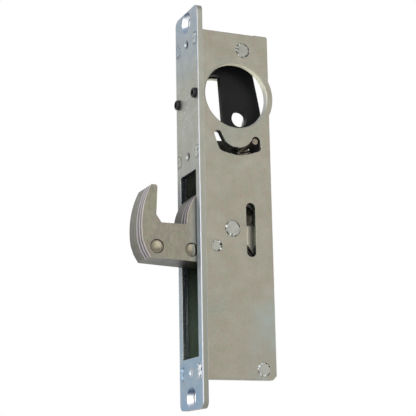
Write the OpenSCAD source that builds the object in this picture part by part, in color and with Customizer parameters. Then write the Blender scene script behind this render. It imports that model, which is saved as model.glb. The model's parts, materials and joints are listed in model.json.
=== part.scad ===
// Mortise hook lock for a narrow door edge, drawn with the hook thrown.
// Millimetres. X runs from the seating face of the front plate into the door,
// Y across the thickness of the lock, Z up. The origin is on the seating face,
// midway between the two mounting screws.

/* [Front plate] */
// Length of the front plate
plate_l = 174.6; // [174:0.2:175.6]
// Width of the front plate and thickness of the whole lock
plate_w = 25.4; // [25.2:0.1:25.6]
// Thickness of the front plate
plate_t = 2.5; // [2.3:0.1:2.8]
// Radius of the front plate's corners
corner_r = 3; // [3:0.2:4.2]
// Distance between the two mounting screws
screw_pitch = 165.1; // [164.7:0.1:165.5]
// Diameter of the mounting screw holes
screw_d = 5.5; // [5.2:0.1:5.8]
// Diameter of the countersinks
sink_d = 9.8; // [9.4:0.1:10.2]
// Diameter of the three tapped holes for the cover plate
tap_d = 3.4; // [3.2:0.1:3.6]

/* [Case] */
// Height of the side plates
case_h = 151.4; // [151:0.2:152.4]
// Depth of the case behind the front plate
case_d = 30.9; // [30.8:0.1:31.6]
// Thickness of one side plate
side_t = 3.2; // [3:0.1:3.3]
// Radius of the cylinder bore
bore_r = 14.56; // [14.5:0.02:14.76]
// Outer radius of the rim round the bore
rim_r = 17.3; // [17:0.1:17.6]

/* [Hook] */
// Thickness of one of the five plies
ply_t = 3.175; // [3.1:0.025:3.2]
// Radius of the hook's back, from the pivot
hook_reach = 39; // [38.6:0.1:39.4]
// Radius of the lobe at the root of the hook
lobe_r = 19.9; // [19.7:0.1:20.1]
// Radius of the hook's pivot post
pivot_r = 3.5; // [3.3:0.05:3.7]
// Radius of the stop post
stop_r = 2.5; // [2.3:0.05:2.6]
// Radius of the drive pin
drive_r = 1.5; // [1.4:0.05:1.6]

/* [Lever and deadlock pin] */
// Thickness of the lever
lever_t = 2.7; // [2.5:0.05:2.75]
// Radius of the lever's post
top_r = 3.25; // [3:0.05:3.4]
// Radius of the deadlock pin
pin_r = 1.35; // [1.25:0.05:1.4]

/* [Set screws] */
// Radius of a set screw
set_r = 2.25; // [2.15:0.05:2.3]
// Length of a set screw
set_l = 4.8; // [4.6:0.1:5.2]

/* [Hidden] */
$fn = 96;
fit = 0.05;                       // running fit on posts, radial
gap = 0.35;                       // room round parts that pass each other
half = plate_w / 2;               // outer faces of the side plates
inner = half - side_t;            // inner faces of the side plates
hook_half = 2.5 * ply_t;          // half the thickness of the hook
slot_half = hook_half + 0.86;     // half the width of the hook's slot
bore_x = 15.45;
bore_z = 47.1;
piv = [12.4, -12.2];              // hook pivot, x and z
stop = [4.9, -20];                // stop post
top = [18.9, 68];                 // lever pivot
spacer_r = top_r + 2;
rear = [25.2, -71.3];             // small post low at the back
tabs = [case_h / 2 - 3.4, 21.1, 3.8 - case_h / 2]; // heights of the tabs and the tapped holes
tab_l = 6.2;
tab_y = [half - 5.1, half - 0.7]; // the tabs reach from here to here
set_y = half - 3.1;
set_z = bore_z + 0.1;
set_out = set_l - 0.7;            // a set screw stands out to here
arc_c = [15.58, 31.3];            // middle of the deadlock pin's travel
arc_r = 9.44;
arc_a = [-165.3, -26.4];
pin_at = arc_c + arc_r * [cos(arc_a[1]), sin(arc_a[1])];
left_at = arc_c + arc_r * [cos(arc_a[0]), sin(arc_a[0])];
drive_a = 38;                     // where the drive pin sits on the lobe
drive_d = 17;
fork_r = drive_r + 1.4;            // half the width of the lever's fork
lever_a = 5.66;                   // lean of the lever when the hook is thrown
swing = 95;                       // the hook's swing, thrown to drawn in
flush = 14;                       // pivot to the lobe's flat top, which then lies in the slot
lever_y = -ply_t;                 // the lever runs in the layer of ply two
stop_d = norm(stop - piv);
stop_a = atan2(stop[1] - piv[1], stop[0] - piv[0]) + 360;
rivets = [[-32.4, -8.6], [-16.8, -9.2]];
rivet_r = 1.9;
head_r = 2.1;
dish_r = 3;
dish = 0.5;
low = -15.2;                      // lower edge of the hook below its pivot
wire = 0.45;                      // radius of the spring wire
coil_r = 2.2;
curls = 6;
coil_z = [-43.05, -51.7];          // middles of the first and last wire ring

// Piece to draw

// Helpers

// A flat shape in x and z, drawn from y0 to y1
module along_y(y0, y1) {
    translate([0, y1, 0]) rotate([90, 0, 0]) linear_extrude(y1 - y0) children();
}

// A flat shape in y and z, drawn from x0 to x1
module along_x(x0, x1) {
    translate([x0, 0, 0]) rotate([90, 0, 90]) linear_extrude(x1 - x0) children();
}

// A round bar across the lock at p = [x, z]
module rod(p, r, y0, y1) {
    translate([p[0], y1, p[1]]) rotate([90, 0, 0]) cylinder(r = r, h = y1 - y0);
}

// A round bar along the depth at y, z
module bar(y, z, r, x0, x1) {
    translate([x0, y, z]) rotate([0, 90, 0]) cylinder(r = r, h = x1 - x0);
}

// A thick line from a to b with round ends
module stroke(a, b, r) {
    translate(a) circle(r);
    translate(b) circle(r);
    d = b - a;
    translate(a) rotate(atan2(d[1], d[0])) translate([0, -r]) square([norm(d), 2 * r]);
}

// Part of a ring from a0 to a1, less than half a turn
module sector(r, w, a0, a1) {
    far = 4 * r;
    n = 4;
    intersection() {
        difference() {
            circle(r + w);
            circle(r - w);
        }
        polygon(concat([[0, 0]], [for (i = [0:n]) let (a = a0 + (a1 - a0) * i / n)
            far * [cos(a), sin(a)]]));
    }
}

// Front plate
module front_plate() {
    color([0.62, 0.66, 0.7])
    difference() {
        along_x(-plate_t, 0) {
            square([plate_w, plate_l - 2 * corner_r], center = true);
            square([plate_w - 2 * corner_r, plate_l], center = true);
            for (y = [-1, 1], z = [-1, 1])
                translate([y * (plate_w / 2 - corner_r), z * (plate_l / 2 - corner_r)])
                    circle(corner_r);
        }
        // slot for the hook
        translate([-plate_t - 1, -slot_half, -66.1]) cube([plate_t + 2, 2 * slot_half, 79.7]);
        // countersunk mounting holes
        for (z = [-1, 1] * screw_pitch / 2) {
            bar(0, z, screw_d / 2, -plate_t - 1, 1);
            sink = (sink_d - screw_d) / 2;
            translate([-plate_t, 0, z]) rotate([0, 90, 0])
                cylinder(r1 = sink_d / 2, r2 = screw_d / 2, h = min(sink, plate_t - 0.4));
        }
        // tapped holes and the windows of the side plates' tabs
        for (z = tabs) {
            bar(0, z, tap_d / 2, -plate_t - 1, 1);
            translate([-plate_t, 0, z]) rotate([0, 90, 0])
                cylinder(r1 = tap_d / 2 + 0.5, r2 = tap_d / 2, h = 0.5);
            for (s = [-1, 1]) translate([-plate_t - 1, s > 0 ? tab_y[0] : -tab_y[1], z - tab_l / 2])
                cube([plate_t + 2, tab_y[1] - tab_y[0], tab_l]);
        }
        // threaded holes of the set screws
        for (s = [-1, 1]) bar(s * set_y, set_z, set_r + fit, -plate_t - 1, 1);
    }
}

// Side plates

// The curved slot: the outline seen from outside, with the pin's own path
module smile() {
    polygon([[4.71, 28.7], [5.5, 26.3], [6.3, 23.9], [7, 22.3], [8.3, 21.4], [12, 20.6],
             [16.5, 20.12], [20.5, 20.9], [24.9, 22.4], [26.2, 23], [26.6, 24.2], [26.24, 27.2],
             [24.2, 27.3], [22.4, 27.3], [22.4, 26], [21.2, 24.8], [16.5, 23.6], [11.9, 24],
             [10.9, 24.5], [9.7, 26.4], [8.1, 29.3], [6.4, 28.9]]);
    translate(left_at) circle(1.75);
    translate([24.3, 27.25]) circle(1.95);
    translate(arc_c) sector(arc_r, pin_r + gap, arc_a[0], arc_a[1]);
}

// Body of one side plate with its outer face at y = 0 and its inside towards +y
module side_plate(outline) {
    difference() {
        union() {
            along_y(0, side_t) polygon(outline);
            // rim round the bore, cut off at the front plate
            intersection() {
                rod([bore_x, bore_z], rim_r, 0, side_t);
                translate([0, -1, 0]) cube([60, 20, 100]);
            }
            // feet and tabs
            for (z = tabs) {
                translate([0, 0, z - tab_l / 2]) cube([2.8, half - tab_y[0], tab_l]);
                translate([-plate_t, half - tab_y[1], z - tab_l / 2])
                    cube([plate_t + 1, tab_y[1] - tab_y[0], tab_l]);
            }
        }
        rod([bore_x, bore_z], bore_r, -1, side_t + 1);
        translate([bore_x, 0, bore_z]) rotate([-90, 0, 0])
            cylinder(r1 = bore_r + 0.4, r2 = bore_r, h = 0.4);
        along_y(-1, side_t + 1) {
            smile();
            stroke([20.9, -2.6], [20.9, -21.8], 2.17);
        }
        bar(half - set_y, set_z, set_r + fit, -1, 3);
        rod(top, top_r, -1, side_t + 1);
        rod(piv, pivot_r, -1, side_t + 1);
        rod(stop, stop_r, -1, side_t + 1);
        // broken outer edges at the top, the bottom and the back
        for (s = [-1, 1]) translate([-1, 0, s * case_h / 2]) rotate([45, 0, 0])
            cube([case_d + 20, 0.75, 0.75], center = true);
    }
}

module side_plate_near() {
    c = 1.8;
    color([0.68, 0.67, 0.62])
    difference() {
        translate([0, -half, 0])
            side_plate([[0, -case_h / 2], [case_d - c, -case_h / 2], [case_d, -case_h / 2 + c],
                        [case_d, case_h / 2 - 0.6], [case_d - 0.6, case_h / 2], [0, case_h / 2]]);
        rod(rear, 3, -half - 1, -inner + 1);
    }
}

module side_plate_far() {
    b = -73.1;
    color([0.66, 0.65, 0.6])
    mirror([0, 1, 0]) translate([0, -half, 0])
        side_plate([[0, -case_h / 2], [3.2, -case_h / 2], [3.9, b], [case_d - 1.8, b],
                    [case_d, b + 1.8], [case_d, case_h / 2 - 0.6], [case_d - 0.6, case_h / 2],
                    [0, case_h / 2]]);
}

// Posts, spacers and washers
module top_post() color([0.75, 0.76, 0.76]) rod(top, top_r, -half, half);

module hook_pivot_post() color([0.75, 0.76, 0.76]) rod(piv, pivot_r, -half, half);

module stop_post() color([0.75, 0.76, 0.76]) rod(stop, stop_r, -half, half);

module rear_post() color([0.75, 0.76, 0.76]) {
    rod(rear, 3, -half, -inner);
    rod(rear, 1.8, -inner - 0.01, inner);
}

module sleeve(p, r, r_out, y0, y1) {
    difference() {
        rod(p, r_out, y0, y1);
        rod(p, r, y0 - 1, y1 + 1);
    }
}

module lever_spacer_near() color([0.5, 0.5, 0.5])
    sleeve(top, top_r + fit, spacer_r, -inner, lever_y - lever_t / 2 - 0.06);

module lever_spacer_far() color([0.5, 0.5, 0.5])
    sleeve(top, top_r + fit, spacer_r, lever_y + lever_t / 2 + 0.06, inner);

module hook_washer_near() color([0.7, 0.62, 0.4])
    sleeve(piv, pivot_r + fit, 7.6, -inner, -hook_half - 0.08);

module hook_washer_far() color([0.7, 0.62, 0.4])
    sleeve(piv, pivot_r + fit, 7.6, hook_half + 0.08, inner);

// Hook, drawn round its pivot
module hook_outline() {
    back = 17.6;
    // arm, hub and tail
    intersection() {
        circle(hook_reach);
        polygon(concat([[-35.2, -13.15], [-37.2, -9.9], [-39.5, -3.3], [-46, -3.3],
                        [-46, 17.7], [-34, 17.7]],
            [for (i = [0:4]) [-33.1, 16.7] + [sin(22.5 * i), cos(22.5 * i)]],
            [[-32.3, 13.1], [-32.7, 4.9], [-30.4, 1.6], [-10, 1.6], [10, 0], [back, -3],
             [17.5, -3.7], [15.6, -8.6], [12.6, -10.15], [7.6, -4.4], [4.8, low]]));
    }
    // lobe above the pivot, kept inside the case at the back; its flat top
    // closes the slot when the hook is drawn in
    intersection() {
        translate([1.1, 2]) circle(lobe_r);
        polygon([[-25, -3], [back, -3], for (x = [back, -25])
            [x, (flush + x * cos(swing)) / sin(swing)]]);
    }
}

module ply(n) {
    y0 = -hook_half + (n - 1) * ply_t;
    color([0.58, 0.54, 0.49])
    translate([piv[0], 0, piv[1]])
    difference() {
        along_y(y0, y0 + ply_t) difference() {
            if (n == 2) {
                // room for the lever
                difference() {
                    hook_outline();
                    translate([2, -0.7]) square([30, 30]);
                }
                circle(6.4);
            } else hook_outline();
            sector(stop_d, stop_r + gap, stop_a - swing - 2, stop_a + 2);
        }
        rod([0, 0], pivot_r + fit, y0 - 1, y0 + ply_t + 1);
        // ends of the stop post's slot
        for (a = [stop_a - swing, stop_a])
            rod(stop_d * [cos(a), sin(a)], stop_r + gap - 0.03, y0 - 1, y0 + ply_t + 1);
        if (n == 1) rod([8.2, 7], 4.5, y0 - 1, y0 + ply_t + 1);
        for (p = rivets) {
            rod(p, rivet_r, y0 - 1, y0 + ply_t + 1);
            if (n == 1) rod(p, dish_r, y0 - 1, y0 + dish);
            if (n == 5) rod(p, dish_r, y0 + ply_t - dish, y0 + ply_t + 1);
        }
        if (n == 3 || n == 4)
            rod(drive_d * [cos(drive_a), sin(drive_a)], drive_r, y0 - 1, y0 + ply_t + 1);
    }
}

module hook_ply_1() ply(1);
module hook_ply_2() ply(2);
module hook_ply_3() ply(3);
module hook_ply_4() ply(4);
module hook_ply_5() ply(5);

module rivet(p) {
    rs = (head_r * head_r + dish * dish) / (2 * dish);
    color([0.66, 0.64, 0.58])
    translate([piv[0] + p[0], 0, piv[1] + p[1]]) {
        rod([0, 0], rivet_r, -hook_half + dish, hook_half - dish);
        for (s = [-1, 1]) intersection() {
            translate([0, s * (hook_half - rs), 0]) sphere(rs);
            rod([0, 0], head_r, s < 0 ? -hook_half - 1 : hook_half - dish,
                s < 0 ? -hook_half + dish : hook_half + 1);
        }
    }
}

module hook_rivet_outer() rivet(rivets[0]);
module hook_rivet_inner() rivet(rivets[1]);

module drive_pin() color([0.72, 0.72, 0.7])
    rod(piv + drive_d * [cos(drive_a), sin(drive_a)], drive_r, -1.5 * ply_t + 0.1, 1.5 * ply_t);

// Lever, drawn hanging straight down from its post
module lever_outline() {
    polygon([[-12.5, -8.7], [-12.5, -3], [-3.2, 5], [4.2, 4.4], [7.3, -6], [8, -13],
             [8.55, -18.6], [9.2, -26], [8.9, -29], [7.6, -39], [6.6, -49], [6, -52.5],
             [3, -56], [3, -60], [4.6, -62], [4.6, -72],
             [-3.9, -72], [-4.6, -68], [-4.6, -62], [-3, -60], [-3.1, -55], [-5.2, -52.6],
             [-5.8, -49], [-5.9, -38], [-9.4, -31], [-9.35, -28], [-8.75, -9.6],
             [-9.6, -8.7]]);
}

module lever_cuts() {
    // window for the deadlock pin, with a seat for its spring below
    translate([-4.22, -49.2]) square([7.08, 10]);
    translate([-3, -52.5]) square([5.86, 4]);
    // fork for the drive pin
    translate([-fork_r, -80]) square([2 * fork_r, 15.8]);
}

module lever() {
    y0 = lever_y - lever_t / 2;
    y1 = lever_y + lever_t / 2;
    color([0.13, 0.14, 0.16])
    translate([top[0], 0, top[1]]) rotate([0, -lever_a, 0])
    difference() {
        union() {
            along_y(y0, y1) lever_outline();
            rod([0, 0], 6.8, y0, y1);
        }
        along_y(y0 - 1, y1 + 1) lever_cuts();
        rod([0, 0], top_r + fit, y0 - 1, y1 + 1);
        rod([-1.5, -28.85], 3.6, y0 - 1, y1 + 1);
        rod([0, -64.2], fork_r, y0 - 1, y1 + 1);
    }
}

// Spring below the deadlock pin, one unbroken tube along a helix
function coil_at(t) = let (a = 360 * curls * t, z = coil_z[0] + (coil_z[1] - coil_z[0]) * t)
    [coil_r * cos(a) - 0.05, coil_r * sin(a), z];
function coil_ring(t) = let (a = 360 * curls * t, u = [cos(a), sin(a), 0])
    [for (k = [0:5]) coil_at(t) + wire * (cos(60 * k) * u + [0, 0, sin(60 * k)])];
rings = curls * 8;
coil_pts = [for (i = [0:rings]) each coil_ring(i / rings)];
coil_faces = concat([[5, 4, 3, 2, 1, 0]], [[for (k = [0:5]) 6 * rings + k]],
    [for (i = [0:rings - 1], k = [0:5])
        [6 * i + k, 6 * i + (k + 1) % 6, 6 * (i + 1) + (k + 1) % 6, 6 * (i + 1) + k]]);
coil_gap = min([for (i = [0:rings - 5], j = [i + 5:rings])
    norm(coil_at(i / rings) - coil_at(j / rings))]) - 2 * wire;
echo(str("least gap between curls of the pin spring: ", coil_gap, " mm"));

module pin_spring() color([0.7, 0.7, 0.7])
    translate([top[0], lever_y, top[1]]) rotate([0, -lever_a, 0])
        polyhedron(points = coil_pts, faces = coil_faces, convexity = 8);

module deadlock_pin() color([0.75, 0.75, 0.74]) rod(pin_at, pin_r, 0.5 - half, half - 0.5);

// Set screws
module set_screw(y) {
    color([0.1, 0.1, 0.11])
    difference() {
        bar(y, set_z, set_r, -set_out, set_l - set_out);
        translate([-set_out - 1, y, set_z]) rotate([90, 0, 90]) linear_extrude(2.6)
            polygon([for (k = [0:5]) 1.35 * [cos(60 * k), sin(60 * k)]]);
    }
}

module set_screw_near() set_screw(-set_y);
module set_screw_far() set_screw(set_y);

front_plate();
side_plate_near();
side_plate_far();
top_post();
hook_pivot_post();
stop_post();
rear_post();
lever_spacer_near();
lever_spacer_far();
hook_washer_near();
hook_washer_far();
hook_ply_1();
hook_ply_2();
hook_ply_3();
hook_ply_4();
hook_ply_5();
hook_rivet_outer();
hook_rivet_inner();
drive_pin();
lever();
pin_spring();
deadlock_pin();
set_screw_near();
set_screw_far();
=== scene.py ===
import bpy, bmesh, json, math
from mathutils import Matrix, Vector


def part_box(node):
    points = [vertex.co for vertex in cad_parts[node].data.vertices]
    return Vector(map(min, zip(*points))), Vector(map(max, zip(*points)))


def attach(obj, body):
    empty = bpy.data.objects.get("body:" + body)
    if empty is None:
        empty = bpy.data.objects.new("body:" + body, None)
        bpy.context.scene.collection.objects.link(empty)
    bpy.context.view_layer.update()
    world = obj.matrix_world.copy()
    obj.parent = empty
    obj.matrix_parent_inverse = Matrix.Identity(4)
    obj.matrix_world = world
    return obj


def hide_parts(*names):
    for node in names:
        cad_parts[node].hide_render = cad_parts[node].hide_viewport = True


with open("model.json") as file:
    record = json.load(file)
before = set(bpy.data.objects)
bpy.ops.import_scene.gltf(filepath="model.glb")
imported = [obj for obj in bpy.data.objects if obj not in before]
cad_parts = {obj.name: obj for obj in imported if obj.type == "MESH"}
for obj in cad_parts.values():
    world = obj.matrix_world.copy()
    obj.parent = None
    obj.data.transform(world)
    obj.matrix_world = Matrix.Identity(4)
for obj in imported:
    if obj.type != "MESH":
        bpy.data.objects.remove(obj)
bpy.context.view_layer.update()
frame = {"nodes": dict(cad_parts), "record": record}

MM = 0.001                              # a millimetre in the scene, which is in metres


def corners(node):
    """The lowest and the highest corner of a piece at rest, in millimetres"""
    return [[round(v / MM, 3) for v in corner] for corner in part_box(node)]


def axis_of(node):
    """X and Z of a round piece that lies along Y, and its radius"""
    (x0, _, z0), (x1, _, z1) = corners(node)
    return round((x0 + x1) / 2, 2), round((z0 + z1) / 2, 2), round((z1 - z0) / 2, 2)


# Sizes of the part in millimetres, from the frame where it has them
mounts = {m["name"]: m for m in frame["record"]["mounts"]}
(FACE_X, _, _), (_, _, HALF_LENGTH) = corners("front_plate")
SINK_Z = mounts["mounting_screws"]["dims"]["spacing_y_mm"] / 2
HOLES = [(place, round(mounts["cover_screw_" + place]["pos_m"][2] / MM, 3))
         for place in ("top", "middle", "bottom")]
BORE_X, _, BORE_Z = (round(v / MM, 3) for v in mounts["cylinder_bore_near"]["pos_m"])
BORE_R = mounts["cylinder_bore_near"]["dims"]["r_mm"] + 0.01    # roots of its thread
(SCREW_FRONT, y0, z0), (SCREW_BACK, y1, z1) = corners("set_screw_far")
SCREW_Y, SCREW_Z, SCREW_R = (round(v / 2, 3) for v in (y0 + y1, z0 + z1, y1 - y0))
PLATE_IN = corners("rear_post")[1][1]   # inner face of the far side plate, where that post ends
PLATE_OUT = corners("top_post")[1][1]   # its outer face
TAB_WIDTH, TAB_LENGTH = 4.4, 6.2
TAB_Y = corners("side_plate_far")[0][1] + TAB_WIDTH / 2


def add_node(tree, kind, **settings):
    """A new node with its settings"""
    n = tree.nodes.new(kind)
    for key, value in settings.items():
        setattr(n, key, value)
    return n


def lin(r, g, b):
    """A colour as it shows on screen, 0 to 255, in linear light"""
    return tuple(((c / 255 + 0.055) / 1.055) ** 2.4 if c > 10 else c / 255 / 12.92
                 for c in (r, g, b))


# Materials: a small builder for node trees

class Look:
    """A principled material whose colour, roughness and bump come from nodes"""

    def __init__(self, name, metallic=1.0, specular=0.5):
        self.mat = bpy.data.materials.new(name)
        self.mat.use_nodes = True
        self.tree = self.mat.node_tree
        self.tree.nodes.clear()
        out = self.node("ShaderNodeOutputMaterial")
        self.bsdf = self.node("ShaderNodeBsdfPrincipled")
        self.link(self.bsdf.outputs["BSDF"], out.inputs["Surface"])
        self.bsdf.inputs["Metallic"].default_value = metallic
        self.bsdf.inputs["Specular IOR Level"].default_value = specular
        self.coord = self.node("ShaderNodeTexCoord").outputs["Object"]

    def node(self, kind, **settings):
        return add_node(self.tree, kind, **settings)

    def link(self, a, b):
        self.tree.links.new(a, b)

    def noise(self, scale, detail=3.0, rough=0.55, stretch=None, seed=0.0):
        n = self.node("ShaderNodeTexNoise", noise_dimensions="4D")
        for key, value in (("Scale", scale), ("Detail", detail), ("Roughness", rough), ("W", seed)):
            n.inputs[key].default_value = value
        vector = self.coord
        if stretch:
            m = self.node("ShaderNodeMapping")
            m.inputs["Scale"].default_value = stretch
            self.link(vector, m.inputs["Vector"])
            vector = m.outputs["Vector"]
        self.link(vector, n.inputs["Vector"])
        return n.outputs["Fac"]

    def ramp(self, fac, *stops):
        """Greys or linear colours along a factor, from pairs of place and value"""
        r = self.node("ShaderNodeValToRGB")
        e = r.color_ramp.elements
        while len(e) < len(stops):
            e.new(0.5)
        for i, (pos, col) in enumerate(stops):
            e[i].position = pos
            e[i].color = (col, col, col, 1) if isinstance(col, float) else (*col, 1)
        self.link(fac, r.inputs["Fac"])
        return r.outputs["Color"]

    def tints(self, fac, *stops):
        """The same, from place, red, green and blue as they show on screen"""
        return self.ramp(fac, *((pos, lin(*rgb)) for pos, *rgb in stops))

    def mix(self, fac, a, b, mode="MIX"):
        m = self.node("ShaderNodeMix", data_type="RGBA", blend_type=mode)
        for value, i in ((fac, 0), (a, 6), (b, 7)):
            if isinstance(value, (int, float)):
                m.inputs[i].default_value = value if i == 0 else (value, value, value, 1)
            elif isinstance(value, tuple):
                m.inputs[i].default_value = (*value, 1)
            else:
                self.link(value, m.inputs[i])
        return m.outputs[2]

    def tone(self, color, by, amount=1.0):
        """A colour times another colour or a number"""
        return self.mix(amount, color, by, "MULTIPLY")

    def math(self, op, a, b=0.0):
        m = self.node("ShaderNodeMath", operation=op)
        for i, value in enumerate((a, b)):
            if isinstance(value, (int, float)):
                m.inputs[i].default_value = value
            else:
                self.link(value, m.inputs[i])
        return m.outputs[0]

    def times(self, first, *others):
        for value in others:
            first = self.math("MULTIPLY", first, value)
        return first

    def minus(self, a, b):
        return self.math("SUBTRACT", a, b)

    def size(self, value):
        """A value without its sign"""
        return self.math("ABSOLUTE", value)

    def places(self):
        """Where the surface lies along X, Y and Z of its own mesh, in millimetres"""
        sep = self.node("ShaderNodeSeparateXYZ")
        self.link(self.coord, sep.inputs[0])
        return [self.times(out, 1 / MM) for out in sep.outputs]

    def square_from(self, x, z, x0, z0):
        """The squared distance from a line along Y"""
        dx, dz = self.minus(x, x0), self.minus(z, z0)
        return self.math("ADD", self.times(dx, dx), self.times(dz, dz))

    def span(self, value, low, high):
        """0 below low and 1 above high"""
        m = self.node("ShaderNodeMapRange")
        self.link(value, m.inputs["Value"])
        m.inputs["From Min"].default_value = low
        m.inputs["From Max"].default_value = high
        return m.outputs["Result"]

    def side(self, axis):
        """0 where the face looks along the axis, 1 where it runs along it"""
        sep = self.node("ShaderNodeSeparateXYZ")
        geo = self.node("ShaderNodeNewGeometry")
        self.link(geo.outputs["Normal"], sep.inputs[0])
        return self.minus(1.0, self.size(sep.outputs["XYZ".index(axis)]))

    def edge(self, radius):
        """A rounded normal, and 0 on flats to 1 on outer edges"""
        bev = self.node("ShaderNodeBevel", samples=6)
        bev.inputs["Radius"].default_value = radius
        geo = self.node("ShaderNodeNewGeometry")
        dot = self.node("ShaderNodeVectorMath", operation="DOT_PRODUCT")
        self.link(bev.outputs["Normal"], dot.inputs[0])
        self.link(geo.outputs["Normal"], dot.inputs[1])
        # this factor marks both wear and the painted highlight on edges
        edge_wear_sheen = self.times(self.minus(1.0, dot.outputs["Value"]), 5.0)
        return bev.outputs["Normal"], self.math("MINIMUM", edge_wear_sheen, 1.0)

    def occlusion(self, distance, *stops):
        """A factor that falls where other surfaces stand close by"""
        ao = self.node("ShaderNodeAmbientOcclusion", samples=6)
        ao.inputs["Distance"].default_value = distance
        return self.ramp(ao.outputs["AO"], *stops)

    def rough(self, scale, spread, least):
        """Uneven roughness, between least and least plus spread"""
        uneven = self.noise(scale, 3, 0.6, seed=7.0)
        return self.math("ADD", self.times(uneven, spread), least)

    def finish(self, color, rough, bump=None, normal=None, strength=0.3, distance=0.0002):
        self.link(color, self.bsdf.inputs["Base Color"])
        self.link(rough, self.bsdf.inputs["Roughness"])
        if bump is not None:
            b = self.node("ShaderNodeBump")
            b.inputs["Strength"].default_value = strength
            b.inputs["Distance"].default_value = distance
            self.link(bump, b.inputs["Height"])
            self.link(normal, b.inputs["Normal"])
            self.link(b.outputs["Normal"], self.bsdf.inputs["Normal"])
        return self.mat


def mottle(k, color, pink, green, pale, amount):
    """Plating's faint rainbow: small pink and green patches and broader pale ones"""
    patches = k.tints(k.noise(1150, 2, 0.55), (0.34, *pink), (0.5, 255, 255, 255), (0.66, *green))
    color = k.tone(color, patches, amount)
    broad = k.ramp(k.noise(140, 4, 0.6, seed=4.0), (0.42, 0.0), (0.72, 0.55))
    color = k.mix(broad, color, lin(*pale))
    grain = k.ramp(k.noise(2300, 2, 0.6, seed=2.0), (0.3, 0.93), (0.7, 1.06))
    return k.tone(color, grain)


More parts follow.
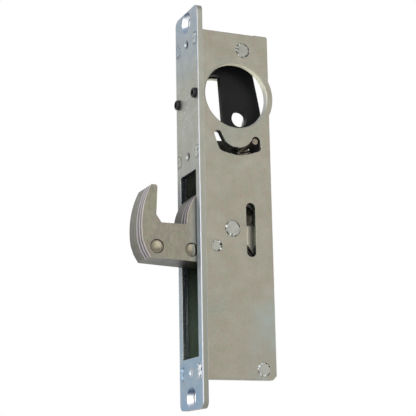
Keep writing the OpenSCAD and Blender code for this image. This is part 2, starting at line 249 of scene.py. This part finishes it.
def front_look():
    """Bright zinc of the front plate: bluer towards both ends, glossy where it was cut"""
    k = Look("front_zinc", metallic=0.8)
    x, y, z = k.places()
    across, along = k.size(y), k.size(z)
    height = k.span(z, -HALF_LENGTH, HALF_LENGTH)
    color = k.tints(height, (0.0, 134, 165, 197), (0.12, 138, 166, 190), (0.24, 142, 158, 170),
                    (0.5, 148, 153, 153), (0.64, 156, 158, 149), (0.8, 156, 158, 150),
                    (0.9, 146, 159, 169), (1.0, 146, 161, 178))
    color = mottle(k, color, (252, 226, 230), (226, 246, 228), (176, 180, 178), 0.8)
    # pale blotches between the set screws
    zone = k.ramp(height, (0.66, 0.0), (0.7, 0.8), (0.78, 0.8), (0.85, 0.0))
    spots = k.ramp(k.noise(900, 2, 0.6, seed=11.0), (0.56, 0.0), (0.68, 0.6))
    color = k.mix(k.times(zone, spots), color, lin(222, 222, 220))
    # painted shade in the dents and painted highlights on the burrs of the staked tabs, sharpest on the
    # lowest near one
    proud = k.span(x, FACE_X, FACE_X - 0.16)
    sharp = k.ramp(proud, (0.0, 1.0), (0.02, 1.0), (0.04, 0.12), (0.28, 0.3),
                   (0.42, 1.0), (0.6, 1.0), (0.85, 1.4), (1.0, 2.0))
    dull = k.ramp(proud, (0.0, 1.0), (0.02, 1.0), (0.04, 0.16), (0.3, 0.28),
                  (0.5, 0.7), (0.62, 0.96), (0.85, 1.1), (1.0, 1.4))
    color = k.tone(color, k.mix(k.span(height, 0.15, 0.3), sharp, dull))
    # a painted glint on the near tabs, brightest low down
    glint = k.times(k.span(x, FACE_X - 0.08, FACE_X - 0.12),
                    k.ramp(height, (0.1, 0.9), (0.3, 0.1)), k.span(y, 0.0, -4.0))
    color = k.mix(glint, color, lin(250, 252, 255))
    # bands of light in the countersinks
    cone = k.ramp(k.side("X"), (0.18, 0.0), (0.26, 1.0), (0.34, 1.0), (0.4, 0.0))
    cone = k.times(cone, k.span(along, 76.0, 77.0), k.span(across, 5.4, 5.0))
    above = k.minus(z, k.times(k.math("SIGN", z), SINK_Z))
    slant = k.times(k.span(z, 0.0, 1.0), k.span(y, -2.5, 0.0), -1.8)
    bands = k.tints(k.span(k.math("ADD", above, slant), -5.0, 5.0),
                    (0.0, 140, 158, 180), (0.22, 164, 176, 192), (0.4, 236, 239, 243),
                    (0.62, 240, 243, 246), (0.73, 110, 124, 144), (0.8, 74, 90, 116),
                    (0.88, 104, 122, 144), (0.95, 150, 168, 188))
    color = k.mix(cone, color, k.mix(k.span(y, -3.4, -1.4), lin(120, 132, 150), bands))
    # painted shade: the far strip beside the hook is darker
    strip = k.times(k.span(y, 8.4, 9.4),
                    k.ramp(height, (0.36, 0.0), (0.42, 1.0), (0.54, 1.0), (0.58, 0.0)))
    color = k.mix(strip, color, k.tone(color, lin(204, 206, 214)))
    # the plate's outer sides, with a painted highlight along their front corner
    cut = k.span(k.side("X"), 0.25, 0.45)
    outside = k.math("MAXIMUM", k.span(across, 12.2, 12.4), k.span(along, 86.8, 87.0))
    outside = k.math("MAXIMUM", outside, k.span(k.math("ADD", across, along), 96.4, 96.7))
    color = k.mix(k.times(cut, outside), color, lin(146, 147, 137))
    line = k.times(k.span(across, 12.38, 12.48), k.span(x, -2.05, -2.2),
                   k.ramp(height, (0.4, 0.95), (0.8, 0.42)))
    color = k.mix(line, color, lin(226, 230, 240))
    # streaky walls of the slot and the holes
    inner = k.math("MAXIMUM", k.minus(k.minus(cut, outside), cone), 0.0)
    wall = k.tints(k.noise(700, 2, 0.5, (3.0, 0.3, 0.1), seed=5.0),
                   (0.34, 70, 84, 100), (0.5, 128, 134, 140), (0.64, 186, 196, 190))
    color = k.mix(inner, color, wall)
    # painted highlight on the edges, with some wear
    normal, edge_wear_sheen = k.edge(0.00042)
    color = k.mix(k.times(edge_wear_sheen, 0.7), color, lin(214, 214, 226))
    shade = k.occlusion(0.022, (0.05, lin(38, 48, 52)), (0.3, lin(120, 122, 128)),
                        (0.62, 0.8), (0.86, 1.0))
    shade = k.mix(k.times(k.span(k.side("X"), 0.45, 0.25), 0.5), shade, 1.0)
    color = k.tone(color, shade)
    # painted light on the near strip beside the hook, a painted highlight on the slot's rounded lip,
    # and a painted glint on the thread of the lowest hole
    beside = k.times(k.span(y, -8.4, -9.0), k.span(y, -12.2, -11.8), k.span(x, -2.3, -2.45),
                     k.ramp(height, (0.34, 0.0), (0.38, 1.0), (0.46, 1.0), (0.52, 0.0)))
    color = k.mix(beside, color, k.tone(color, (1.6, 1.7, 1.95)))
    lip = k.times(inner, k.span(x, -1.5, -2.2), 0.6)
    color = k.mix(lip, color, lin(160, 166, 162))
    hole = k.times(k.ramp(height, (0.05, 0.0), (0.06, 1.0), (0.11, 1.0), (0.13, 0.0)),
                   k.span(across, 2.2, 1.8), inner, 0.9)
    color = k.mix(hole, color, lin(252, 253, 255))
    rough = k.minus(k.rough(150, 0.2, 0.3), k.times(inner, 0.14))
    return k.finish(color, rough, k.noise(1300, 3, 0.6, seed=1.0), normal, 0.16, 0.00008)


def case_look():
    """Warm grey zinc of the side plates: painted light in the bore, painted shade tinted green inside
    the case
    """
    k = Look("case_zinc", metallic=0.8)
    x, y, z = k.places()
    color = k.tints(k.noise(34, 2, 0.5, seed=9.0),
                    (0.36, 158, 154, 141), (0.56, 156, 153, 140), (0.72, 150, 155, 146))
    color = mottle(k, color, (253, 228, 228), (229, 248, 226), (166, 165, 156), 0.62)
    # painted light: lighter towards the foot, darker towards the top
    color = k.tone(color, k.ramp(k.span(z, -75.0, 75.0), (0.0, 1.05), (0.5, 0.94), (1.0, 0.9)))
    # the low back corner is cooler
    cool = k.times(k.span(x, 17.0, 28.0), k.span(z, -36.0, -46.0),
                   k.ramp(k.noise(90, 2, 0.5, seed=13.0), (0.4, 0.1), (0.58, 0.8)))
    color = k.mix(cool, color, lin(158, 168, 163))
    cut = k.span(k.side("Y"), 0.25, 0.5)
    wall = k.tints(k.noise(800, 2, 0.5, (1.0, 0.2, 1.0), seed=5.0),
                   (0.3, 168, 167, 156), (0.7, 204, 203, 192))
    color = k.mix(cut, color, wall)
    # the bore's own wall catches light all round
    bore = k.times(cut, k.span(k.square_from(x, z, BORE_X, BORE_Z), 236.0, 226.0))
    ring = k.tints(k.span(k.minus(z, BORE_Z), -15.0, 15.0), (0.1, 192, 194, 192),
                   (0.5, 198, 198, 193), (0.62, 208, 206, 192), (0.74, 255, 255, 232),
                   (1.0, 255, 250, 222))
    color = k.mix(bore, color, ring)
    # painted highlight on the edges, with some wear
    normal, edge_wear_sheen = k.edge(0.0003)
    color = k.mix(k.times(edge_wear_sheen, 0.6), color, lin(214, 213, 203))
    shade = k.occlusion(0.028, (0.08, lin(50, 58, 55)), (0.3, lin(93, 101, 97)),
                        (0.5, lin(206, 214, 210)), (0.62, 1.0))
    # painted shade, tinted green, inside behind the front plate's slot
    green = k.times(k.span(x, 9.0, 6.0), k.span(z, -16.0, -24.0), k.span(k.size(y), 10.4, 9.8))
    shade = k.mix(green, shade, k.tone(shade, lin(226, 255, 246)))
    shade = k.mix(bore, shade, 1.0)
    color = k.tone(color, shade)
    rough = k.minus(k.rough(170, 0.18, 0.36), k.times(cut, 0.2))
    scratch = k.ramp(k.noise(900, 2, 0.5, (1.0, 1.0, 0.06), seed=6.0), (0.62, 0.0), (0.68, 1.0))
    bump = k.minus(k.noise(1300, 3, 0.6, seed=1.0), k.times(scratch, 0.2))
    k.link(k.minus(0.8, k.times(bore, 0.6)), k.bsdf.inputs["Metallic"])
    return k.finish(color, rough, bump, normal, 0.14, 0.00008)


# Painted light and shade across the hook's thickness, on its cut edges and its underside: millimetres
# from its middle plane, red, green and blue
HOOK_HALF = 8.0
PLY_LINES = ((-7.9, 204, 197, 198), (-7.1, 192, 186, 186), (-6.4, 110, 98, 92), (-5.4, 92, 84, 82),
             (-4.9, 196, 190, 196), (-4.2, 166, 162, 166), (-3.6, 96, 90, 92),
             (-2.3, 110, 104, 106), (-1.7, 184, 178, 182), (-0.9, 152, 148, 148),
             (0.0, 100, 98, 92), (1.5, 108, 108, 98), (1.8, 122, 122, 112),
             (2.4, 100, 100, 90), (4.7, 106, 104, 98), (7.9, 96, 96, 90))
UNDERSIDE = ((-7.9, 204, 200, 172), (-7.5, 142, 140, 116), (-7.0, 84, 87, 62), (7.9, 72, 75, 54))


def hook_look():
    """Stamped plies: plain near face, lines of light along the cut edges where the plies meet"""
    k = Look("hook_steel", metallic=0.75)
    x, y, z = k.places()
    face = k.tints(k.noise(150, 4, 0.6),
                   (0.3, 132, 127, 118), (0.5, 138, 135, 123), (0.7, 138, 138, 120))
    brushed = k.ramp(k.noise(1100, 3, 0.6, (0.6, 1.0, 0.3), seed=8.0), (0.34, 0.88), (0.62, 1.07))
    face = k.tone(face, brushed)
    patches = k.tints(k.noise(900, 2, 0.5, seed=3.0),
                      (0.35, 250, 226, 222), (0.5, 255, 255, 255), (0.65, 228, 244, 222))
    face = k.tone(face, patches, 0.5)
    # light on the lobe through the upright slot and at the front slot, and a faint round imprint
    lit = k.times(k.span(x, 16.5, 17.5), k.span(z, -9.2, -9.9))
    face = k.mix(lit, face, lin(246, 241, 220))
    face = k.mix(k.span(x, -6.0, FACE_X), face, k.mix(0.35, face, lin(250, 248, 236)))
    off_ring = k.size(k.minus(k.math("SQRT", k.square_from(x, z, -11.5, -17.3)), 3.5))
    face = k.mix(k.times(k.span(off_ring, 0.3, 0.1), 0.35), face, lin(112, 108, 96))
    # cut edges of the plies, a little wavy, with painted light lines where the plies meet, painted
    # shade between them on the lobe and a painted highlight round the low corner
    wave = k.times(k.minus(k.noise(420, 2, 0.5, seed=5.0), 0.5), 0.5)
    ply = k.span(k.math("ADD", y, wave), -HOOK_HALF, HOOK_HALF)
    lines, under = (k.tints(ply, *(((mm + HOOK_HALF) / (2 * HOOK_HALF), *rgb) for mm, *rgb in table))
                    for table in (PLY_LINES, UNDERSIDE))
    edge = k.mix(k.span(z, -25.2, -25.42), lines, under)
    edge = k.tone(edge, k.ramp(k.noise(600, 3, 0.6, seed=6.0), (0.3, 0.88), (0.7, 1.08)))
    edge = k.mix(k.span(x, -20.0, -14.0), edge, k.tone(k.tone(edge, edge), 1.6))
    corner = k.times(k.span(z, -24.7, -25.3), k.span(z, -26.6, -25.9), 0.3)
    edge = k.mix(corner, edge, k.mix(0.3, lines, lin(220, 216, 206)))
    color = k.mix(k.span(k.side("Y"), 0.35, 0.6), face, edge)
    normal, edge_wear_sheen = k.edge(0.00022)
    # painted highlight along the edges, strongest along the lower near edge
    bright = k.times(edge_wear_sheen, k.math("ADD", 0.25, k.times(k.span(z, -22.0, -24.5), 0.5)))
    color = k.mix(bright, color, lin(196, 191, 176))
    shade = k.occlusion(0.0016, (0.25, lin(92, 92, 88)), (0.5, lin(176, 176, 172)), (0.7, 1.0))
    color = k.tone(color, shade)
    bump = k.noise(1000, 3, 0.6, seed=1.0)
    return k.finish(color, k.rough(240, 0.22, 0.3), bump, normal, 0.16, 0.00008)


def plain_metal(name, base, dark, rough, metallic=1.0, specular=0.5, scale=600, radius=0.00018,
                foot=None, edge=None, near=None, lit=None, lips=None):
    """Metal in two shades. foot is its gain of painted light at the case's lower end, edge the
    colour of rubbed edges with their painted highlight, near how far painted shade in crevices
    reaches, lit an x where a gain of painted light starts, one where it is full and the gain, and
    lips the colour of the painted highlight on raised marks on the posts' ends"""
    k = Look(name, metallic=metallic, specular=specular)
    x, y, z = k.places()
    color = k.tints(k.noise(scale, 3, 0.6), (0.3, *dark), (0.62, *base))
    # painted light, stronger towards the case's lower end
    if foot:
        gain = k.ramp(k.span(z, -72.0, 68.0), (0.0, foot), (0.4, 1.22), (1.0, 1.0))
        color = k.tone(color, gain)
    normal, edge_wear_sheen = k.edge(radius)
    # rubbed edges with their painted highlight
    if edge:
        color = k.mix(k.times(edge_wear_sheen, 0.7), color, lin(*edge))
    # painted shade in crevices
    if near:
        color = k.tone(color, k.occlusion(near, (0.25, 0.22), (0.7, 1.0)))
    # painted light, growing along x
    if lit:
        start, full, gain = lit
        color = k.tone(color, k.ramp(k.span(x, start, full), (0.0, 1.0), (1.0, gain)))
    # painted highlight on the raised marks of the posts' ends
    if lips:
        color = k.mix(k.span(k.size(y), 12.6, 12.67), color, lin(*lips))
    bump = k.noise(scale * 3, 3, 0.6, seed=1.0)
    return k.finish(color, k.rough(scale * 0.6, 0.16, rough - 0.08), bump, normal, 0.12, 0.00006)


PLAIN = {
    # posts: painted light towards the foot, painted highlights on edges and raised marks, painted shade
    # in crevices
    "post_zinc": dict(base=(138, 139, 133), dark=(128, 129, 124), rough=0.34, metallic=0.8,
                      scale=420, radius=0.0003, foot=1.67, edge=(236, 238, 236), near=0.0012,
                      lips=(240, 243, 244)),
    # rivets: painted light on their side towards the front plate
    "rivet_steel": dict(base=(146, 141, 124), dark=(122, 116, 102), rough=0.26, scale=420,
                        near=0.0006, lit=(-4.6, -3.2, 3.0)),
    "lever_black": dict(base=(15, 16, 18), dark=(9, 10, 12), rough=0.5, metallic=0.0,
                        specular=0.2, scale=260, edge=(44, 46, 50)),
    "spacer_steel": dict(base=(92, 92, 90), dark=(64, 64, 62), rough=0.4),
    "washer_bronze": dict(base=(130, 114, 80), dark=(96, 84, 58), rough=0.4),
    "spring_steel": dict(base=(122, 108, 92), dark=(84, 74, 64), rough=0.36),
    "pin_steel": dict(base=(132, 122, 108), dark=(104, 96, 86), rough=0.4),
    "screw_black": dict(base=(26, 24, 27), dark=(12, 12, 14), rough=0.4, metallic=0.2,
                        edge=(46, 44, 48)),
}
LOOKS = {"front_zinc": front_look(), "case_zinc": case_look(), "hook_steel": hook_look()}
LOOKS.update({slot: plain_metal(slot, **values) for slot, values in PLAIN.items()})

slot_of = {s["node"]: s["material_slot"] for s in frame["record"]["subparts"]}
for name, obj in frame["nodes"].items():
    obj.data.materials.clear()
    obj.data.materials.append(LOOKS[slot_of[name]])


# Meshes built in code

CREASE = math.radians(38)               # edges that bend more stay sharp


def mesh_object(name, verts, faces, slot, body):
    """A smooth piece from points in millimetres. It moves with a body and wears a slot's look"""
    mesh = bpy.data.meshes.new(name)
    mesh.from_pydata([tuple(c * MM for c in v) for v in verts], [], faces)
    bm = bmesh.new()
    bm.from_mesh(mesh)
    bmesh.ops.remove_doubles(bm, verts=bm.verts, dist=1e-7)
    bmesh.ops.recalc_face_normals(bm, faces=bm.faces)
    for f in bm.faces:
        f.smooth = True
    for e in bm.edges:
        if len(e.link_faces) == 2 and e.calc_face_angle(0.0) > CREASE:
            e.smooth = False
    bm.to_mesh(mesh)
    bm.free()
    obj = bpy.data.objects.new(name, mesh)
    bpy.context.scene.collection.objects.link(obj)
    mesh.materials.append(LOOKS[slot])
    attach(obj, body)
    return obj


def circle(n):
    """n angles all round"""
    return [2 * math.pi * k / n for k in range(n)]


def smoothstep(a, b, x):
    """0 at a, 1 at b and a soft rise between"""
    t = min(1.0, max(0.0, (x - a) / (b - a)))
    return t * t * (3 - 2 * t)


def skin(rings):
    """Vertices and faces of an open skin over rings of equal length"""
    n = len(rings[0])
    verts = [p for ring in rings for p in ring]
    faces = [(i * n + k, i * n + (k + 1) % n, (i + 1) * n + (k + 1) % n, (i + 1) * n + k)
             for i in range(len(rings) - 1) for k in range(n)]
    return verts, faces


def closed_skin(rings, first, last):
    """The same, closed by a point at each end"""
    verts, faces = skin(rings)
    n = len(rings[0])
    for point, base, flip in ((first, 0, True), (last, (len(rings) - 1) * n, False)):
        verts.append(point)
        c = len(verts) - 1
        for k in range(n):
            tri = (base + k, base + (k + 1) % n, c)
            faces.append(tri[::-1] if flip else tri)
    return verts, faces


def ring_at(x, y, z, r, angles):
    """A ring round a line along Y"""
    return [(x + r * math.cos(a), y, z + r * math.sin(a)) for a in angles]


def staked_post(name, node, marks, tail=None):
    """A post with staked ends. A mark is its angle, its depth, the share of the radius where
    it starts and its width. A depth below zero raises it. tail is the radius behind a shoulder"""
    x, z, r = axis_of(node)
    raised, steps, far_turn = 0.12, 16, 37
    half = PLATE_OUT - raised
    angles = circle(120)

    def height(rr, a, turn):
        h = 0.0
        for angle, depth, start, width in marks:
            off = (math.degrees(a) - angle - turn + 180) % 360 - 180
            across = math.radians(off) * rr
            h -= depth * math.exp(-(across / width) ** 2) * smoothstep(start * r, 0.93 * r, rr)
        return h - 0.08 * smoothstep(0.95 * r, r, rr)

    def end(side, turn):
        rings = []
        for i in range(1, steps + 1):
            rr = r * (i / steps) ** 0.7
            rings.append([(px, side * (half + min(raised, height(rr, a, turn))), pz)
                          for a, (px, _, pz) in zip(angles, ring_at(x, 0.0, z, rr, angles))])
        return rings

    if tail:
        rings = end(-1, 0) + [ring_at(x, y, z, radius, angles) for y, radius in
                              ((-PLATE_IN, r), (-PLATE_IN, tail), (PLATE_IN, tail))]
        last = PLATE_IN
    else:
        rings, last = end(-1, 0) + end(1, far_turn)[::-1], half
    verts, faces = closed_skin(rings, (x, -half, z), (x, last, z))
    obj = mesh_object(name, verts, faces, "post_zinc", "case")
    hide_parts(node)


staked_post("pivot_post_staked", "hook_pivot_post",
            [(140, 0.3, 0.85, 0.5), (165, -0.14, 0.6, 0.6), (184, 0.5, 0.86, 0.4),
             (200, -0.14, 0.72, 0.3), (222, 0.75, 0.8, 0.9), (246, -0.14, 0.55, 0.4),
             (262, 0.35, 0.6, 0.3), (280, -0.1, 0.6, 0.4), (290, 0.6, 0.88, 0.6),
             (30, 0.2, 0.88, 1.2)])
staked_post("stop_post_staked", "stop_post",
            [(55, -0.14, 0.55, 0.36), (20, 0.75, 0.55, 0.34), (-8, 0.3, 0.7, 0.3),
             (-36, -0.14, 0.5, 0.34), (-62, 0.75, 0.7, 0.3), (-112, 0.4, 0.8, 0.25),
             (112, -0.1, 0.8, 0.3), (136, 0.2, 0.85, 0.3)])
staked_post("top_post_staked", "top_post",
            [(118, -0.08, 0.6, 0.4), (136, 0.3, 0.8, 0.3), (152, -0.08, 0.6, 0.4),
             (166, 0.4, 0.35, 0.22), (182, -0.14, 0.6, 0.3), (198, 0.6, 0.75, 0.4),
             (216, 0.3, 0.55, 0.24), (230, -0.14, 0.7, 0.26), (252, -0.08, 0.7, 0.4),
             (266, 0.5, 0.86, 0.5), (312, 0.6, 0.78, 0.5), (340, 0.5, 0.85, 0.4),
             (16, 0.35, 0.86, 0.5), (56, 0.25, 0.86, 0.5)])
staked_post("rear_post_staked", "rear_post",
            [(112, -0.08, 0.6, 0.5), (148, -0.14, 0.5, 0.5), (174, -0.14, 0.72, 0.3),
             (202, 0.75, 0.5, 0.5), (236, -0.1, 0.8, 0.3), (256, 0.5, 0.5, 0.22),
             (278, -0.08, 0.6, 0.4), (318, 0.3, 0.86, 0.5), (28, 0.3, 0.86, 0.4),
             (64, 0.2, 0.86, 0.5)], tail=1.8)


def domed_rivet(name, node):
    """A rivet of the hook: a shank between two low domes that nearly fill their dishes"""
    x, z, _ = axis_of(node)
    steps, rim, shank, seat, foot, top = 9, 2.84, 1.9, 7.45, 7.5, 7.93
    dome = [(rim * math.sin(a), foot + (top - foot) * math.cos(a))
            for a in (math.pi / 2 * i / steps for i in range(1, steps + 1))]
    middle = [(rim - 0.1, -seat), (shank, -seat), (shank, seat), (rim - 0.1, seat)]
    profile = [(r, -y) for r, y in dome] + middle + dome[::-1]
    rings = [ring_at(x, y, z, r, circle(72)) for r, y in profile]
    verts, faces = closed_skin(rings, (x, -top, z), (x, top, z))
    obj = mesh_object(name, verts, faces, "rivet_steel", "hook")
    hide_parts(node)


domed_rivet("rivet_outer_domed", "hook_rivet_outer")
domed_rivet("rivet_inner_domed", "hook_rivet_inner")


def staked_tab(name, side, z0, seed):
    """The end of a case tab, peened level with the front plate: a ring of small dents"""
    ny, nz, inset, count = 30, 42, 1.2, 22
    a, b = TAB_WIDTH - inset, TAB_LENGTH - inset
    dents = []
    for i in range(count):
        t = i / count * 2 * (a + b)
        if t < b:
            cy, cz = -a / 2, t - b / 2
        elif t < a + b:
            cy, cz = t - b - a / 2, b / 2
        elif t < a + 2 * b:
            cy, cz = a / 2, b / 2 - (t - a - b)
        else:
            cy, cz = a / 2 - (t - a - 2 * b), -b / 2
        r1 = math.sin(seed * 12.9 + i * 78.2) * 437.5 % 1.0
        r2 = math.sin(seed * 39.3 + i * 11.1) * 437.5 % 1.0
        dents.append((cy + 0.5 * (r1 - 0.5), cz + 0.5 * (r2 - 0.5), 0.42 + 0.26 * r2, 0.6 + 0.6 * r1))

    def height(y, z):
        h = 0.09
        for cy, cz, r, deep in dents:
            d = math.hypot(y - cy, (z - cz) * 0.8) / r
            h += deep * (0.09 * math.exp(-((d - 1.55) / 0.35) ** 2) - 0.085 * math.exp(-d ** 4))
        to_rim = min(TAB_WIDTH / 2 - abs(y), TAB_LENGTH / 2 - abs(z))
        return max(0.008, min(0.15, h)) * smoothstep(0, 0.12, to_rim)

    verts, faces = [], []
    for i in range(ny + 1):
        for k in range(nz + 1):
            y, z = TAB_WIDTH * (i / ny - 0.5), TAB_LENGTH * (k / nz - 0.5)
            verts.append((FACE_X - height(y, z), side * TAB_Y + y, z0 + z))
    for i in range(ny):
        for k in range(nz):
            c = i * (nz + 1) + k
            faces.append((c, c + 1, c + nz + 2, c + nz + 1))
    mesh_object(name, verts, faces, "front_zinc", "case")


for i, (place, z0) in enumerate(HOLES):
    staked_tab("tab_end_near_" + place, -1, z0, 1.0 + i)
    staked_tab("tab_end_far_" + place, 1, z0, 5.0 + i)


def thread(x, a, pitch, depth):
    """How far a thread's surface lies below its crest"""
    t = (x / pitch - a / (2 * math.pi)) % 1.0
    return depth * min(1.0, max(0.0, 2.6 * abs(t - 0.5) - 0.15))


def set_screw(name, node, body, y):
    """A socket set screw: hexagonal socket in front, thread, flat point behind"""
    r, x0, x1 = SCREW_R, SCREW_FRONT, SCREW_BACK
    flat, socket, pitch, depth, steps = 1.25, 1.6, 0.8, 0.2, 60
    angles = circle(72)

    def ring(x, radius):
        return [(x, y + radius(a) * math.cos(a), SCREW_Z + radius(a) * math.sin(a)) for a in angles]

    def hexagon(a):
        return flat / math.cos((a + math.pi / 6) % (math.pi / 3) - math.pi / 6)

    rings = [ring(x0 + socket, hexagon), ring(x0 + 0.12, hexagon),
             ring(x0, lambda a: hexagon(a) + 0.1), ring(x0, lambda a: r - 0.42)]
    for i in range(steps + 1):
        x = x0 + 0.05 + (x1 - x0 - 0.1) * i / steps
        limit = min(r, r - 0.4 + (x - x0) * 0.9, r - 0.5 + x1 - x)
        rings.append(ring(x, lambda a: min(limit, r - thread(x, a, pitch, depth))))
    rings.append(ring(x1, lambda a: r - 0.55))
    verts, faces = closed_skin(rings, (x0 + socket + 0.3, y, SCREW_Z), (x1, y, SCREW_Z))
    obj = mesh_object(name, verts, faces, "screw_black", body)
    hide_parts(node)


set_screw("set_screw_near_threaded", "set_screw_near", "screw_near", -SCREW_Y)
set_screw("set_screw_far_threaded", "set_screw_far", "screw_far", SCREW_Y)


def thread_skin(n, start, length, point):
    """A skin along a hole; point gives a vertex from its depth and its angle"""
    steps = 44
    return skin([[point(start + length * i / steps, a) for a in circle(n)]
                 for i in range(steps + 1)])


def hole_thread(name, z0):
    """The thread inside a tapped hole of the front plate"""
    start, length, root, depth, pitch = -1.95, 1.9, 1.69, 0.19, 0.7

    def point(x, a):
        fade = smoothstep(start - 0.02, start + 0.2, x)
        r = root - depth * fade * (1 - thread(x, a, pitch, 1.0))
        return (x, r * math.cos(a), z0 + r * math.sin(a))

    verts, faces = thread_skin(48, start, length, point)
    mesh_object(name, verts, faces, "front_zinc", "case")


for place, z0 in HOLES:
    hole_thread("tapped_thread_" + place, z0)


def bore_thread(name, side):
    """The fine thread that the cylinder screws into, 32 to the inch. It stops at the set screws"""
    start, length, run_out, depth, pitch = PLATE_IN + 0.02, 2.8, 0.3, 0.2, 0.794

    def point(y, a):
        fade = max(0.0, min(1.0, (y - PLATE_IN) / run_out, (start + length - y) / run_out))
        r = BORE_R - depth * fade * (1 - thread(y, side * a, pitch, 1.0))
        return (BORE_X + r * math.cos(a), side * y, BORE_Z + r * math.sin(a))

    def in_screw_hole(x, y, z):
        near_front = x <= 3
        return near_front and math.hypot(abs(y) - SCREW_Y, z - SCREW_Z) <= SCREW_R + 0.15

    verts, faces = thread_skin(200, start, length, point)
    faces = [f for f in faces if not any(in_screw_hole(*verts[c]) for c in f)]
    mesh_object(name, verts, faces, "case_zinc", "case")


bore_thread("bore_thread_near", -1)
bore_thread("bore_thread_far", 1)


# Floor
FLOOR_HALF, FLOOR_Z = 2.0, -0.15
floor_mesh = bpy.data.meshes.new("floor")
floor_mesh.from_pydata([(x * FLOOR_HALF, y * FLOOR_HALF, FLOOR_Z)
                        for x, y in ((-1, -1), (1, -1), (1, 1), (-1, 1))], [], [(0, 1, 2, 3)])
floor = bpy.data.objects.new("floor", floor_mesh)
bpy.context.scene.collection.objects.link(floor)
pale = Look("pale_floor", metallic=0.0)
floor_mesh.materials.append(pale.finish(
    pale.tints(pale.noise(30, 3), (0.3, 236, 236, 236), (0.7, 240, 240, 240)),
    pale.math("ADD", pale.times(pale.noise(90, 2), 0.1), 0.6)))

# White behind the object for the camera, a softer studio all round it for the light
world = bpy.data.worlds.new("studio")
bpy.context.scene.world = world
world.use_nodes = True
sky = world.node_tree
sky.nodes.clear()
sky_out = add_node(sky, "ShaderNodeOutputWorld")
chooser = add_node(sky, "ShaderNodeMixShader")
path = add_node(sky, "ShaderNodeLightPath")
white = add_node(sky, "ShaderNodeBackground")
room = add_node(sky, "ShaderNodeBackground")
toward = add_node(sky, "ShaderNodeTexCoord")
axes = add_node(sky, "ShaderNodeSeparateXYZ")
depth = add_node(sky, "ShaderNodeMapRange")
by_height = add_node(sky, "ShaderNodeValToRGB")
by_depth = add_node(sky, "ShaderNodeValToRGB")
both = add_node(sky, "ShaderNodeMix", data_type="RGBA", blend_type="MULTIPLY")
white.inputs["Color"].default_value = (1, 1, 1, 1)
room.inputs["Strength"].default_value = 1.2
depth.inputs["From Min"].default_value = -1.0
both.inputs[0].default_value = 1.0
for ramp, stops in (
        (by_height, ((0.0, (0.74, 0.735, 0.71)), (0.3, (0.86, 0.87, 0.89)), (1.0, (0.95, 0.95, 0.95)))),
        (by_depth, ((0.1, (0.69, 0.68, 0.66)), (0.5, (0.6, 0.615, 0.65)), (0.9, (0.95, 0.93, 0.89))))):
    elements = ramp.color_ramp.elements
    elements.new(0.5)
    for i, (pos, col) in enumerate(stops):
        elements[i].position = pos
        elements[i].color = (*col, 1)
for a, b in ((toward.outputs["Generated"], axes.inputs[0]),
             (axes.outputs[2], by_height.inputs["Fac"]),
             (axes.outputs[1], depth.inputs["Value"]),
             (depth.outputs["Result"], by_depth.inputs["Fac"]),
             (by_height.outputs["Color"], both.inputs[6]),
             (by_depth.outputs["Color"], both.inputs[7]),
             (both.outputs[2], room.inputs["Color"]),
             (path.outputs["Is Camera Ray"], chooser.inputs[0]),
             (room.outputs[0], chooser.inputs[1]),
             (white.outputs[0], chooser.inputs[2]),
             (chooser.outputs[0], sky_out.inputs[0])):
    sky.links.new(a, b)


def area(name, at, size, power, color=(1, 1, 1)):
    """A rectangular light that looks at the object"""
    light = bpy.data.lights.new(name, "AREA")
    light.energy = power
    light.shape = "RECTANGLE"
    light.size, light.size_y = size
    light.color = color
    obj = bpy.data.objects.new(name, light)
    obj.location = at
    obj.rotation_euler = (-Vector(at)).to_track_quat("-Z", "Y").to_euler()
    bpy.context.scene.collection.objects.link(obj)


area("softbox", (-0.81, -0.342, 0.198), (0.42, 0.62), 4.0)
area("fill", (0.4, -0.9, 0.35), (0.5, 0.5), 1.2, (1.0, 0.98, 0.94))

# Camera, fitted to the photograph
SENSOR, FOCAL_PX, PICTURE_PX = 36.0, 1221.0, 416
cam_data = bpy.data.cameras.new("camera")
cam_data.sensor_width = SENSOR
cam_data.lens = FOCAL_PX / PICTURE_PX * SENSOR
cam_data.clip_start = 0.01
cam = bpy.data.objects.new("camera", cam_data)
forward = Vector((0.3823, 0.8972, 0.2213)).normalized()
right = Vector((0.9214, -0.3883, -0.0176))
right = (right - forward * right.dot(forward)).normalized()
up = right.cross(forward)
cam.matrix_world = Matrix(((right.x, up.x, -forward.x, -0.19504),
                           (right.y, up.y, -forward.y, -0.47301),
                           (right.z, up.z, -forward.z, -0.11768),
                           (0, 0, 0, 1)))
bpy.context.scene.collection.objects.link(cam)
bpy.context.scene.camera = cam
bpy.context.scene.view_settings.view_transform = "Standard"
bpy.context.scene.view_settings.look = "None"
